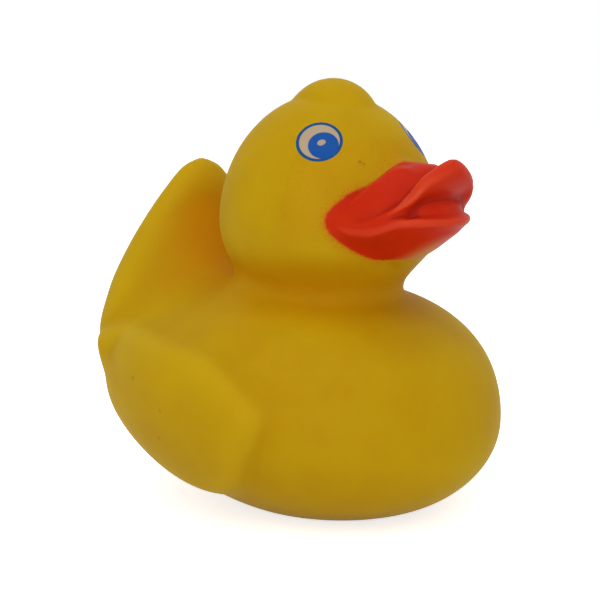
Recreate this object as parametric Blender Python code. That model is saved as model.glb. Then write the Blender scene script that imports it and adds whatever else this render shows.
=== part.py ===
# A bath duck: one hollow moulding of soft vinyl, with a squeaker snapped into the hole in its base.
# Lengths are in metres. The duck stands on z = 0 and faces -Y, so its right side is -X.
# The forms are worked out as (side, forward, height), and forward becomes -Y when a mesh is made.

import math

import bmesh
import bpy
import numpy as np
from mathutils import Vector

MM = 0.001

# Body: a bowl below the belly line and a dome above it
CHEST_REACH = 43.7 * MM
RUMP_REACH = 47.4 * MM
FLANK_REACH = 38.7 * MM
CHEST_HEIGHT = 16.0 * MM
RUMP_HEIGHT = 27.0 * MM
FLANK_HEIGHT = 24.9 * MM
BODY_TOP = 47.7 * MM
CHEST_FULLNESS = 1.75
RUMP_FULLNESS = 1.55
DOME_FULLNESS = 2.24

# Base: the small flat that the duck stands on, which lies forward of the body's middle
BASE_FORWARD = 6.8 * MM
BASE_HALF_LENGTH = 13.4 * MM
BASE_HALF_WIDTH = 13.0 * MM
BASE_FLAT = 0.35 * MM

# Tail: a broad fan that sweeps up behind, given by its root, its waist and its tip
TAIL_ROOT_HEIGHT = 18.0 * MM
TAIL_TIP_HEIGHT = 73.0 * MM
TAIL_ROOT_BACK = 24.0 * MM
TAIL_TIP_BACK = 36.0 * MM
TAIL_SWEEP = 4.6 * MM
TAIL_HALF_WIDTH = 31.4 * MM
TAIL_ROOT_DEPTH = 20.0 * MM
TAIL_FAN = (
    # share of the height, share of the sweep, share of the width, share of the root's depth
    (0.00, 0.00, 0.80, 0.68),
    (0.26, 0.66, 1.00, 0.84),
    (0.47, 0.90, 0.86, 0.66),
    (0.64, 1.00, 0.64, 0.47),
    (0.79, 0.80, 0.42, 0.32),
    (0.89, 0.38, 0.28, 0.23),
    (0.96, 0.10, 0.17, 0.14),
    (1.00, 0.00, 0.02, 0.02),
)

# Head and neck
HEAD_FORWARD = 6.3 * MM
HEAD_HEIGHT = 60.7 * MM
HEAD_RADIUS = 23.4 * MM
HEAD_TOP = 87.9 * MM
NECK_HEIGHT = 47.3 * MM
NECK_RADIUS = 16.6 * MM
NECK_BACK_STEP = 1.5 * MM
NECK_FLARE = 8.5 * MM

# The lock of feathers along the crown
LOCK_REAR = -15.0 * MM
LOCK_FRONT = 12.5 * MM
LOCK_HALF_WIDTH = 7.6 * MM
LOCK_RISE = 3.0 * MM

# Wings: low pads on the flanks, outlined in side view
WING_FRONT = 21.1 * MM
WING_BACK = 33.2 * MM
WING_TOP = 38.2 * MM
WING_BOTTOM = 7.0 * MM
WING_RISE = 2.0 * MM
WING_EDGE = 5.5 * MM
WING_RIM = 0.6 * MM
WING_FACING = 0.15

# Bill: an open smile, lofted through upright sections that fan out round a line inside the head.
# A flared upper lip stands over a thin lower lip, with a tongue between them.
BILL_MIDDLE = 7.7 * MM
BILL_REACH = 27.3 * MM
BILL_HALF_WIDTH = 17.5 * MM
BILL_CORNER_HEIGHT = 62.9 * MM
BILL_LIFT = 12.5 * MM
BILL_BULGE = 2.3 * MM
TONGUE_BULGE = 1.8 * MM
LIP_THICKNESS = 1.8 * MM
LIP_FACE = 4.5 * MM
MOUTH_OPENING = 4.0 * MM
THROAT_DROP = 9.6 * MM
THROAT_TUCK = 0.5
BILL_SECTIONS = (
    # degrees from the middle, share of the reach at the root, then heights above the corner as shares
    # of the lift: the root, the groove behind the rim, the rim, the roof of the mouth, the lower lip
    (0, 0.46, 0.912, 0.860, 1.000, 0.376, 0.060),
    (20, 0.52, 0.808, 0.560, 0.780, 0.345, 0.060),
    (30, 0.56, 0.728, 0.310, 0.490, 0.170, 0.055),
    (38, 0.62, 0.640, 0.160, 0.250, 0.080, 0.035),
    (50, 0.72, 0.488, 0.020, 0.040, -0.030, -0.070),
    (60, 0.84, 0.312, -0.020, -0.030, -0.060, -0.075),
    (71, 0.97, 0.040, 0.030, 0.020, 0.010, 0.000),
    (78, 0.97, 0.030, 0.025, 0.020, 0.015, 0.010),
)

# Moulding
WALL = 2.0 * MM
CORE_GRAIN = 1.0 * MM
SKIN_GRAIN = 0.6 * MM
CAVITY_GRAIN = 1.4 * MM
FILLET_REACH = 4.2 * MM
SKIN_FILLET_REACH = 1.35 * MM
HOLLOW_REACH = 17.0 * MM
HOLLOW_FRONT = 8.0 * MM
HOLLOW_FADE = 14.0 * MM
SKIN_FACES = 8200
CAVITY_FACES = 2200

# Squeaker and its seat in the base
CLEARANCE = 0.3 * MM
SEAT_RADIUS = 5.6 * MM
SEAT_LAND = 1.8 * MM
RECESS_RADIUS = 8.2 * MM
RECESS_DEPTH = 1.6 * MM
BOSS_RADIUS = 10.5 * MM
FLANGE_SET_BACK = 0.5 * MM
BARB_RISE = 1.1 * MM
BARB_LENGTH = 2.2 * MM
SQUEAKER_LENGTH = 8.5 * MM
AIR_BORE_RADIUS = 2.4 * MM
AIR_HOLE_RADIUS = 1.2 * MM
REED_WALL = 0.5 * MM
REED_STANDOUT = 3.0 * MM
REED_SLOT = 0.9 * MM

ROUND_STEPS = 48


def clear_scene():
    for obj in list(bpy.data.objects):
        bpy.data.objects.remove(obj, do_unlink=True)


def make_material(name, colour, roughness):
    material = bpy.data.materials.new(name)
    material.use_nodes = True
    shader = material.node_tree.nodes["Principled BSDF"]
    shader.inputs["Base Color"].default_value = (*colour, 1.0)
    shader.inputs["Roughness"].default_value = roughness
    shader.inputs["Metallic"].default_value = 0.0
    material.diffuse_color = (*colour, 1.0)
    return material


def link_mesh(name, bm):
    bmesh.ops.recalc_face_normals(bm, faces=bm.faces[:])
    mesh = bpy.data.meshes.new(name)
    bm.to_mesh(mesh)
    bm.free()
    obj = bpy.data.objects.new(name, mesh)
    bpy.context.scene.collection.objects.link(obj)
    return obj


def loft(name, rings):
    """A closed skin through rings of (side, forward, height) points, capped at both ends."""
    bm = bmesh.new()
    loops = []
    for ring in rings:
        loops.append([bm.verts.new((side, -forward, height)) for side, forward, height in ring])
    for lower, upper in zip(loops, loops[1:]):
        for i, vert in enumerate(lower):
            j = (i + 1) % len(lower)
            bm.faces.new((vert, lower[j], upper[j], upper[i]))
    bm.faces.new(loops[0][::-1])
    bm.faces.new(loops[-1])
    return link_mesh(name, bm)


def smooth_through(stations, count):
    """Read count rows from a smooth curve through the stations (a chordal Catmull-Rom spline)."""
    knots = [0.0]
    for a, b in zip(stations, stations[1:]):
        knots.append(knots[-1] + math.dist(a, b) ** 0.5)
    slopes = []
    last = len(stations) - 1
    for i in range(len(stations)):
        lo, hi = max(i - 1, 0), min(i + 1, last)
        slopes.append([(q - p) / (knots[hi] - knots[lo]) for p, q in zip(stations[lo], stations[hi])])
    rows = []
    span = 0
    for step in range(count):
        at = knots[-1] * step / (count - 1)
        while span < last - 1 and at > knots[span + 1]:
            span += 1
        width = knots[span + 1] - knots[span]
        s = (at - knots[span]) / width
        a = 2 * s**3 - 3 * s**2 + 1
        b = (s**3 - 2 * s**2 + s) * width
        c = (s**3 - s**2) * width
        rows.append([
            a * p + b * m + (1 - a) * q + c * n
            for p, m, q, n in zip(stations[span], slopes[span], stations[span + 1], slopes[span + 1])
        ])
    return rows


def oval(forward, height, half_depth, half_width, steps=ROUND_STEPS):
    ring = []
    for i in range(steps):
        turn = 2 * math.pi * i / steps
        ring.append((half_width * math.sin(turn), forward + half_depth * math.cos(turn), height))
    return ring


def body_rings(inset=0.0):
    """Rings from the base up the bowl to the belly line, and over the dome to the apex."""
    directions = [2 * math.pi * i / ROUND_STEPS for i in range(ROUND_STEPS)]
    belly = []
    base = []
    powers = []
    for turn in directions:
        ahead, aside = math.cos(turn), math.sin(turn)
        reach = CHEST_REACH if ahead > 0 else RUMP_REACH
        crest = CHEST_HEIGHT if ahead > 0 else RUMP_HEIGHT
        height = FLANK_HEIGHT + (crest - FLANK_HEIGHT) * ahead**2
        belly.append(((FLANK_REACH - inset) * aside, (reach - inset) * ahead, height))
        base.append((BASE_HALF_WIDTH * aside, BASE_FORWARD + BASE_HALF_LENGTH * ahead, inset))
        powers.append(2 / (RUMP_FULLNESS + (CHEST_FULLNESS - RUMP_FULLNESS) * ease(0.5 + 0.5 * ahead)))
    rings = []
    for i in range(11):
        turn = 0.5 * math.pi * i / 10
        ring = []
        for low, high, power in zip(base, belly, powers):
            out, up = math.sin(turn) ** power, 1 - math.cos(turn) ** power
            ring.append(tuple(a + (b - a) * k for a, b, k in zip(low, high, (out, out, up))))
        rings.append(ring)
    for i in range(1, 14):
        turn = 0.5 * math.pi * i / 13.2
        inward = math.cos(turn) ** (2 / DOME_FULLNESS)
        up = math.sin(turn) ** (2 / DOME_FULLNESS)
        rings.append([(side * inward, forward * inward, height + (BODY_TOP - inset - height) * up)
                      for side, forward, height in belly])
    return rings


def tail_rings(inset=0.0):
    height = TAIL_TIP_HEIGHT - inset - TAIL_ROOT_HEIGHT
    stations = []
    for up, sweep, width, depth in TAIL_FAN:
        back = TAIL_ROOT_BACK + (TAIL_TIP_BACK - TAIL_ROOT_BACK) * up + TAIL_SWEEP * sweep
        stations.append((
            TAIL_ROOT_HEIGHT + height * up,
            -back,
            max(TAIL_ROOT_DEPTH * depth - inset, 0.01 * TAIL_ROOT_DEPTH),
            max(TAIL_HALF_WIDTH * width - inset, 0.01 * TAIL_HALF_WIDTH),
        ))
    return [oval(forward, up, deep, wide) for up, forward, deep, wide in smooth_through(stations, 34)]


def head_rings(inset=0.0):
    """Rings from the flare at the shoulders up the neck, and round the head to the crown."""
    neck = NECK_RADIUS - inset
    radius = HEAD_RADIUS - inset
    rise = HEAD_HEIGHT - NECK_HEIGHT
    back = HEAD_FORWARD - NECK_BACK_STEP
    stations = [
        (NECK_HEIGHT - NECK_FLARE, back - NECK_BACK_STEP, neck + NECK_FLARE),
        (NECK_HEIGHT - 0.45 * NECK_FLARE, back - 0.6 * NECK_BACK_STEP, neck + 0.26 * NECK_FLARE),
        (NECK_HEIGHT, back, neck),
        (NECK_HEIGHT + 0.36 * rise, back + 0.3 * NECK_BACK_STEP, neck + 0.5 * (radius - neck)),
        (NECK_HEIGHT + 0.66 * rise, HEAD_FORWARD, neck + 0.88 * (radius - neck)),
    ]
    for i in range(12):
        turn = 0.5 * math.pi * i / 11.1
        stations.append((
            HEAD_HEIGHT + (HEAD_TOP - inset - HEAD_HEIGHT) * math.sin(turn),
            HEAD_FORWARD,
            radius * math.cos(turn),
        ))
    return [oval(forward, up, wide, wide) for up, forward, wide in smooth_through(stations, 52)]


def crown_height(ahead):
    share = min(abs(ahead) / HEAD_RADIUS, 1.0)
    return HEAD_HEIGHT + (HEAD_TOP - HEAD_HEIGHT) * math.sqrt(1 - share**2)


def lock_rings():
    """Upright ovals along the crown, with a steep round front and a long fade behind."""
    rings = []
    for i in range(1, 22):
        share = i / 22
        swell = math.sin(math.pi * share**1.45) ** 0.5
        ahead = LOCK_REAR + (LOCK_FRONT - LOCK_REAR) * share
        middle = crown_height(ahead) - LOCK_RISE
        ring = []
        for k in range(20):
            turn = 2 * math.pi * k / 20
            ring.append((
                LOCK_HALF_WIDTH * swell * math.cos(turn),
                HEAD_FORWARD + ahead,
                middle + 2 * LOCK_RISE * swell * math.sin(turn),
            ))
        rings.append(ring)
    return rings


def bill_section(turn, root, top, groove, rim, roof, lower):
    """One upright section of the bill, fanned out by turn degrees from the middle."""
    top, groove, rim, roof, lower = (
        BILL_CORNER_HEIGHT + BILL_LIFT * share for share in (top, groove, rim, roof, lower))
    plan = math.cos(math.radians(turn))
    face = rim - roof
    roll = min(0.15 + 0.85 * face / LIP_FACE, 1.0)
    gape = roof - lower
    cheek = BILL_BULGE * (0.25 + 0.75 * ease((abs(turn) - 8) / 25)) * min((top - groove) / (0.3 * BILL_LIFT), 1.0)
    tongue = TONGUE_BULGE / BILL_REACH * gape / MOUTH_OPENING
    lip = LIP_THICKNESS
    throat = THROAT_DROP * plan**0.8
    out = 1.0 - root
    behind = root + 0.8 * out
    edge = behind + (1.0 - behind) * roll
    crease = edge - 0.02 - 0.09 * roll
    stations = [
        (0.32, top),
        (root, top),
        (root + 0.32 * out, top - 0.15 * (top - groove) + cheek),
        (root + 0.60 * out, groove + 0.45 * (top - groove) + 0.75 * cheek),
        (behind, groove),
        (behind + 0.3 * (edge - behind), rim - 0.12 * face),
        (behind + 0.72 * (edge - behind), rim),
        (edge + 0.03 * roll, rim - 0.25 * face),
        (edge + 0.01 * roll, rim - 0.52 * face),
        (edge - 0.05 * roll, rim - 0.80 * face),
        (crease, roof),
        (crease + 0.3 * tongue, roof - 0.12 * gape - 0.1 * lip),
        (crease + 0.8 * tongue, lower + 0.62 * gape - 0.2 * lip),
        (crease + tongue, lower + 0.34 * gape - 0.3 * lip),
        (0.935, lower + 0.02 * gape - 0.4 * lip),
        (0.968, lower + 0.22 * lip),
        (0.992, lower + 0.12 * lip),
        (1.005, lower - 0.3 * lip),
        (0.995, lower - 0.75 * lip),
        (0.965, lower - 1.05 * lip),
    ]
    tuck = THROAT_TUCK * (1.0 - plan)
    for share, drop in ((0.92, 0.16), (0.84, 0.34), (0.74, 0.55), (0.60, 0.77), (0.45, 0.93), (0.32, 1.0)):
        stations.append((share * (1.0 - tuck * drop), lower - lip - drop * throat))
    middle = HEAD_FORWARD + BILL_MIDDLE
    aside = BILL_HALF_WIDTH / BILL_REACH * math.sin(math.radians(turn))
    outline = smooth_through([(BILL_REACH * share, height) for share, height in stations], 90)
    return [(aside * reach, middle + plan * reach, height) for reach, height in outline]


def bill_sections():
    sections = [(-row[0], *row[1:]) for row in BILL_SECTIONS[:0:-1]] + list(BILL_SECTIONS)
    return [bill_section(*row) for row in smooth_through(sections, 71)]


def join_meshes(name, objects):
    """Put several closed meshes into one object, for a remesh to fuse."""
    bm = bmesh.new()
    for obj in objects:
        bm.from_mesh(obj.data)
        bpy.data.objects.remove(obj, do_unlink=True)
    mesh = bpy.data.meshes.new(name)
    bm.to_mesh(mesh)
    bm.free()
    joined = bpy.data.objects.new(name, mesh)
    bpy.context.scene.collection.objects.link(joined)
    return joined


def bake_modifiers(obj):
    """Swap an object's mesh for the one that its modifiers make."""
    depsgraph = bpy.context.evaluated_depsgraph_get()
    baked = bpy.data.meshes.new_from_object(obj.evaluated_get(depsgraph))
    obj.modifiers.clear()
    obj.data = baked
    return obj


def passes_for(reach, grain):
    """How often a skin of this grain is smoothed to soften its edges over the given reach."""
    return round((reach / grain) ** 2)


def fuse(name, objects, grain, fillet):
    """Fuse overlapping forms into one skin, and soften where they meet."""
    obj = join_meshes(name, objects)
    remesh = obj.modifiers.new("Fuse", "REMESH")
    remesh.mode = "VOXEL"
    remesh.voxel_size = grain
    remesh.adaptivity = 0.0
    smooth = obj.modifiers.new("Soften", "SMOOTH")
    smooth.factor = 0.5
    smooth.iterations = passes_for(fillet, grain)
    return bake_modifiers(obj)


def fill_hollows(obj, grain):
    """Let the skin sag outward into the hollows behind the neck, so that back and tail run into each other."""
    mesh = obj.data
    count = len(mesh.vertices)
    points = np.empty(count * 3)
    mesh.vertices.foreach_get("co", points)
    points = points.reshape(-1, 3)
    ends = np.empty(len(mesh.edges) * 2, int)
    mesh.edges.foreach_get("vertices", ends)
    ends = ends.reshape(-1, 2)
    one, other = np.concatenate([ends[:, 0], ends[:, 1]]), np.concatenate([ends[:, 1], ends[:, 0]])
    neighbours = np.bincount(one, minlength=count)[:, None]
    behind = np.clip((points[:, 1] + HOLLOW_FRONT) / HOLLOW_FADE, 0.0, 1.0)
    pull = (0.5 * behind * behind * (3 - 2 * behind))[:, None]
    normals = np.empty(count * 3)
    for step in range(passes_for(HOLLOW_REACH, grain)):
        if step % 20 == 0:
            mesh.vertices.foreach_set("co", points.ravel())
            mesh.update()
            mesh.vertices.foreach_get("normal", normals)
        centre = np.stack([np.bincount(one, points[other, axis], count) for axis in range(3)], axis=1)
        move = centre / neighbours - points
        outward = np.sum(move * normals.reshape(-1, 3), axis=1, keepdims=True)
        points += np.where(outward > 0.0, move * pull, 0.0)
    mesh.vertices.foreach_set("co", points.ravel())
    mesh.update()


def wing_outline():
    """The wing in side view, as (forward, height) points round a smooth closed curve."""
    length = WING_FRONT + WING_BACK
    height = WING_TOP - WING_BOTTOM
    shares = (
        (0.00, 0.88), (0.12, 0.99), (0.30, 1.00), (0.52, 0.97), (0.74, 0.92), (0.88, 0.81), (0.97, 0.68),
        (1.00, 0.56), (0.95, 0.34), (0.86, 0.14), (0.70, 0.02), (0.50, 0.04), (0.32, 0.18), (0.18, 0.37),
        (0.10, 0.54), (0.03, 0.68), (0.00, 0.88),
    )
    corners = [(-WING_BACK + length * a, WING_BOTTOM + height * b) for a, b in shares]
    return smooth_through(corners, 97)[:-1]


def edge_distance(point, outline):
    """How far a side-view point lies inside the outline; a point outside gives a negative distance."""
    inside = False
    nearest = math.inf
    for (x0, y0), (x1, y1) in zip(outline, outline[1:] + outline[:1]):
        dx, dy = x1 - x0, y1 - y0
        along = ((point[0] - x0) * dx + (point[1] - y0) * dy) / (dx * dx + dy * dy)
        along = min(max(along, 0.0), 1.0)
        nearest = min(nearest, math.hypot(point[0] - x0 - along * dx, point[1] - y0 - along * dy))
        if (y0 > point[1]) != (y1 > point[1]) and point[0] < x0 + dx * (point[1] - y0) / dy:
            inside = not inside
    return nearest if inside else -nearest


def ease(value):
    value = min(max(value, 0.0), 1.0)
    return value * value * (3 - 2 * value)


def raise_wings(obj):
    """Push the skin out inside the wing outlines, with a soft edge and a faint rim along it."""
    outline = wing_outline()
    bm = bmesh.new()
    bm.from_mesh(obj.data)
    bm.normal_update()
    moves = []
    for vert in bm.verts:
        facing = ease((abs(vert.normal.x) - WING_FACING) / (1 - WING_FACING) * 1.4)
        if facing == 0.0 or vert.co.z > WING_TOP + WING_EDGE:
            continue
        depth = edge_distance((-vert.co.y, vert.co.z), outline)
        if depth < -WING_EDGE:
            continue
        rise = WING_RISE * ease(0.5 + depth / WING_EDGE)
        rim = WING_RIM * ease(0.5 + depth / WING_EDGE) * (1 - ease((depth - 0.5 * WING_EDGE) / (2 * WING_EDGE)))
        moves.append((vert, vert.normal * (rise + rim) * facing))
    for vert, move in moves:
        vert.co += move
    bm.to_mesh(obj.data)
    bm.free()


def thin_out(obj, faces):
    """Keep about this many triangles, with more of them where it curves, and make both sides alike."""
    bm = bmesh.new()
    bm.from_mesh(obj.data)
    everything = bm.verts[:] + bm.edges[:] + bm.faces[:]
    bmesh.ops.bisect_plane(
        bm, geom=everything, dist=1e-6, plane_co=(0, 0, 0), plane_no=(1, 0, 0), clear_inner=True)
    bmesh.ops.triangulate(bm, faces=bm.faces[:])
    share = 0.5 * faces / len(bm.faces)
    bm.to_mesh(obj.data)
    bm.free()
    decimate = obj.modifiers.new("Thin out", "DECIMATE")
    decimate.ratio = min(share, 1.0)
    bake_modifiers(obj)
    bm = bmesh.new()
    bm.from_mesh(obj.data)
    for vert in bm.verts:
        if vert.is_boundary:
            vert.co.x = 0.0
    bm.to_mesh(obj.data)
    bm.free()
    mirror = obj.modifiers.new("Other side", "MIRROR")
    mirror.use_axis = (True, False, False)
    mirror.merge_threshold = 1e-6
    return bake_modifiers(obj)


def cut_flat(obj, height):
    """Slice the underside off at a height and close it with one flat face."""
    bm = bmesh.new()
    bm.from_mesh(obj.data)
    everything = bm.verts[:] + bm.edges[:] + bm.faces[:]
    cut = bmesh.ops.bisect_plane(
        bm, geom=everything, dist=1e-7, plane_co=(0, 0, height), plane_no=(0, 0, -1), clear_outer=True)
    rim = [item for item in cut["geom_cut"] if isinstance(item, bmesh.types.BMEdge)]
    bmesh.ops.holes_fill(bm, edges=rim, sides=0)
    bmesh.ops.recalc_face_normals(bm, faces=bm.faces[:])
    bm.to_mesh(obj.data)
    bm.free()


def turned(name, profile):
    """Spin a closed (radius, height) profile once round the squeaker's axis."""
    bm = bmesh.new()
    verts = [bm.verts.new((radius, 0, height)) for radius, height in profile]
    edges = [bm.edges.new((verts[i], verts[(i + 1) % len(verts)])) for i in range(len(verts))]
    bmesh.ops.spin(
        bm, geom=verts + edges, cent=(0, 0, 0), axis=(0, 0, 1), angle=2 * math.pi,
        steps=ROUND_STEPS, use_merge=True)
    bmesh.ops.remove_doubles(bm, verts=bm.verts[:], dist=1e-7)
    bmesh.ops.translate(bm, verts=bm.verts[:], vec=(0, -BASE_FORWARD, 0))
    return link_mesh(name, bm)


def plug(name, radius, bottom, top):
    """A round cutter on the squeaker's axis."""
    bm = bmesh.new()
    bmesh.ops.create_cone(
        bm, cap_ends=True, segments=ROUND_STEPS, radius1=radius, radius2=radius, depth=top - bottom)
    bmesh.ops.translate(bm, verts=bm.verts[:], vec=(0, -BASE_FORWARD, 0.5 * (top + bottom)))
    return link_mesh(name, bm)


def boolean(obj, tool, operation):
    cut = obj.modifiers.new(operation.title(), "BOOLEAN")
    cut.operation = operation
    cut.solver = "EXACT"
    cut.object = tool
    bake_modifiers(obj)
    bpy.data.objects.remove(tool, do_unlink=True)
    return obj


def seat_top():
    return BASE_FLAT + RECESS_DEPTH + SEAT_LAND


def make_shell(material):
    print("duck: outer skin")
    core = fuse("core", [
        loft("body", body_rings()),
        loft("tail", tail_rings()),
        loft("head", head_rings()),
    ], CORE_GRAIN, FILLET_REACH)
    fill_hollows(core, CORE_GRAIN)
    raise_wings(core)
    shell = fuse("duck_shell", [
        core,
        loft("lock", lock_rings()),
        loft("bill", bill_sections()),
    ], SKIN_GRAIN, SKIN_FILLET_REACH)
    thin_out(shell, SKIN_FACES)
    cut_flat(shell, BASE_FLAT)

    print("duck: cavity and squeaker seat")
    cavity = fuse("cavity", [
        loft("body", body_rings(WALL)),
        loft("tail", tail_rings(WALL)),
        loft("head", head_rings(WALL)),
    ], CAVITY_GRAIN, FILLET_REACH)
    fill_hollows(cavity, CAVITY_GRAIN)
    thin_out(cavity, CAVITY_FACES)
    boolean(cavity, plug("boss", BOSS_RADIUS, -WALL, seat_top()), "DIFFERENCE")
    boolean(cavity, plug("seat", SEAT_RADIUS, -WALL, seat_top() + WALL), "UNION")
    boolean(cavity, plug("recess", RECESS_RADIUS, -WALL, BASE_FLAT + RECESS_DEPTH), "UNION")
    boolean(shell, cavity, "DIFFERENCE")
    shell.data.materials.clear()
    shell.data.materials.append(material)
    return shell


def make_squeaker(material):
    print("duck: squeaker")
    under = BASE_FLAT + FLANGE_SET_BACK
    land = BASE_FLAT + RECESS_DEPTH - CLEARANCE
    barb = seat_top() + CLEARANCE
    neck = SEAT_RADIUS - CLEARANCE
    top = under + SQUEAKER_LENGTH
    shoulder = top - 2 * AIR_HOLE_RADIUS
    profile = [
        (RECESS_RADIUS - CLEARANCE, under),
        (RECESS_RADIUS - CLEARANCE, land),
        (neck, land),
        (neck, barb),
        (SEAT_RADIUS + BARB_RISE, barb),
        (neck, barb + BARB_LENGTH),
        (neck, top),
        (AIR_BORE_RADIUS, top),
        (AIR_BORE_RADIUS, under + AIR_HOLE_RADIUS),
        (AIR_HOLE_RADIUS, under + AIR_HOLE_RADIUS),
        (AIR_HOLE_RADIUS, under),
    ]
    body = turned("squeaker_body", profile)
    body.data.materials.append(material)
    return body


def make_reed(material):
    """A short tube in the squeaker's bore, with a slot along its standing end for the tongue."""
    bottom = BASE_FLAT + FLANGE_SET_BACK + AIR_HOLE_RADIUS + CLEARANCE
    top = BASE_FLAT + FLANGE_SET_BACK + SQUEAKER_LENGTH + REED_STANDOUT
    outer = AIR_BORE_RADIUS - CLEARANCE
    inner = outer - REED_WALL
    reed = turned("squeaker_reed", [(outer, bottom), (outer, top), (inner, top), (inner, bottom)])
    bm = bmesh.new()
    bmesh.ops.create_cube(bm, size=1.0)
    bmesh.ops.scale(bm, verts=bm.verts[:], vec=(REED_SLOT, 2 * outer, REED_STANDOUT))
    bmesh.ops.translate(bm, verts=bm.verts[:], vec=(0, -BASE_FORWARD + outer, top))
    boolean(reed, link_mesh("slot", bm), "DIFFERENCE")
    reed.data.materials.clear()
    reed.data.materials.append(material)
    return reed


def stand_on_origin(shell, others):
    """Move every piece so that the shell's box stands centred on the origin."""
    lows = [min(vert.co[axis] for vert in shell.data.vertices) for axis in range(3)]
    highs = [max(vert.co[axis] for vert in shell.data.vertices) for axis in range(3)]
    shift = Vector((-0.5 * (lows[0] + highs[0]), -0.5 * (lows[1] + highs[1]), -lows[2]))
    for obj in [shell] + others:
        for vert in obj.data.vertices:
            vert.co += shift


def shade_round(obj, sharp_degrees):
    obj.data.shade_smooth()
    obj.data.set_sharp_from_angle(angle=math.radians(sharp_degrees))


clear_scene()
yellow_vinyl = make_material("yellow_vinyl", (0.60, 0.36, 0.02), 0.5)
white_plastic = make_material("white_plastic", (0.80, 0.79, 0.75), 0.4)
clear_reed = make_material("reed_plastic", (0.72, 0.74, 0.75), 0.3)
duck_shell = make_shell(yellow_vinyl)
squeaker_body = make_squeaker(white_plastic)
squeaker_reed = make_reed(clear_reed)
stand_on_origin(duck_shell, [squeaker_body, squeaker_reed])
shade_round(duck_shell, 50)
shade_round(squeaker_body, 30)
shade_round(squeaker_reed, 30)
for piece in (duck_shell, squeaker_body, squeaker_reed):
    print(piece.name, "triangles", sum(len(p.vertices) - 2 for p in piece.data.polygons))
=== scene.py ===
# Rubber duck, dressed for its portrait: a fine vinyl skin with a sprayed bill and printed eyes,
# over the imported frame, with the plastic squeaker in its base.
# Forms are worked out in millimetres as (side, forward, height). The duck looks along -Y.

import math

import bmesh
import bpy
import numpy as np
from mathutils import Matrix, Vector
from mathutils.bvhtree import BVHTree
from mathutils.kdtree import KDTree


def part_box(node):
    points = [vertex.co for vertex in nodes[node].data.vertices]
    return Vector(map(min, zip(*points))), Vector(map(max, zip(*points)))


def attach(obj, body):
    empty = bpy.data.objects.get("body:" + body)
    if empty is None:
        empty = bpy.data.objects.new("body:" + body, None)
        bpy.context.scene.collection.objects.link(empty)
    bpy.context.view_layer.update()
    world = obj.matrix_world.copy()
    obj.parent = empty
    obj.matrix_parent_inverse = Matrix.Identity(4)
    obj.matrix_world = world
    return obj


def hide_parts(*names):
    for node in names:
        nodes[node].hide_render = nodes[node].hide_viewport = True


mm = 0.001

print("duck: loading the packed frame")
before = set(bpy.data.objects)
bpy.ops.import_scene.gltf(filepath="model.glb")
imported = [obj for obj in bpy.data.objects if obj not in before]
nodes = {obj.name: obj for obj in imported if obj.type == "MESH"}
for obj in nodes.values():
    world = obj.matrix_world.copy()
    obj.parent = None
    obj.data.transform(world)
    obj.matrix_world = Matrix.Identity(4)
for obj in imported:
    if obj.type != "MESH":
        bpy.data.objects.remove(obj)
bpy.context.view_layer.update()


def hexToLinear(code):
    # sRGB hex to the linear colour that Blender's sockets take
    channels = [int(code[i:i + 2], 16) / 255 for i in (1, 3, 5)]
    return (*[c / 12.92 if c <= 0.04045 else ((c + 0.055) / 1.055) ** 2.4 for c in channels], 1.0)


def addNode(tree, kind, settings={}, inputs={}):
    # settings are the node's own fields; an input is a value, or the socket that feeds it
    node = tree.nodes.new(kind)
    for field, value in settings.items():
        setattr(node, field, value)
    for socket, value in inputs.items():
        if isinstance(value, bpy.types.NodeSocket):
            tree.links.new(value, node.inputs[socket])
        else:
            node.inputs[socket].default_value = value
    return node


def newMaterial(name):
    # a fresh material, its node tree and its shader
    material = bpy.data.materials.new(name)
    material.use_nodes = True
    return material, material.node_tree, material.node_tree.nodes["Principled BSDF"]


print("duck: forms")

squeakerSeat = {
    "seatRadius": 5.6,
    "land": 1.8,
    "recessRadius": 8.2,
    "recessDepth": 1.6,
    "bossRadius": 10.5,
    "flangeSetBack": 0.5,
}

bodyForm = {
    "chestReach": 43.7,
    "rumpReach": 47.4,
    "flankReach": 38.7,
    "chestHeight": 16.0,
    "rumpHeight": 27.0,
    "flankHeight": 24.9,
    "top": 47.7,
    "chestFullness": 1.75,
    "rumpFullness": 1.55,
    "domeFullness": 2.24,
    "baseForward": 6.8,
    "baseHalfLength": 13.4,
    "baseHalfWidth": 13.0,
    "baseFlat": 0.35,
}

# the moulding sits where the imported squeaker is
squeakerLow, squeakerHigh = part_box("squeaker_body")
place = Vector((
    0.5 * (squeakerLow.x + squeakerHigh.x),
    0.5 * (squeakerLow.y + squeakerHigh.y) + bodyForm["baseForward"] * mm,
    squeakerLow.z - (bodyForm["baseFlat"] + squeakerSeat["flangeSetBack"]) * mm,
))


def toFrame(forward, side, height):
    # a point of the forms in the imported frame, in millimetres; the near side is -X
    return Vector((-side, -forward, height)) + place / mm


def ease(value):
    value = np.clip(value, 0.0, 1.0)
    return value * value * (3 - 2 * value)


def linkMesh(name, bm):
    bmesh.ops.recalc_face_normals(bm, faces=bm.faces[:])
    mesh = bpy.data.meshes.new(name)
    bm.to_mesh(mesh)
    bm.free()
    obj = bpy.data.objects.new(name, mesh)
    bpy.context.scene.collection.objects.link(obj)
    return obj


def loft(name, rings):
    # a closed skin through rings of (side, forward, height) points, capped at both ends
    bm = bmesh.new()
    loops = [[bm.verts.new((side * mm, -forward * mm, height * mm)) for side, forward, height in ring]
             for ring in rings]
    for lower, upper in zip(loops, loops[1:]):
        for i, vert in enumerate(lower):
            j = (i + 1) % len(lower)
            bm.faces.new((vert, lower[j], upper[j], upper[i]))
    bm.faces.new(loops[0][::-1])
    bm.faces.new(loops[-1])
    return linkMesh(name, bm)


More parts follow.
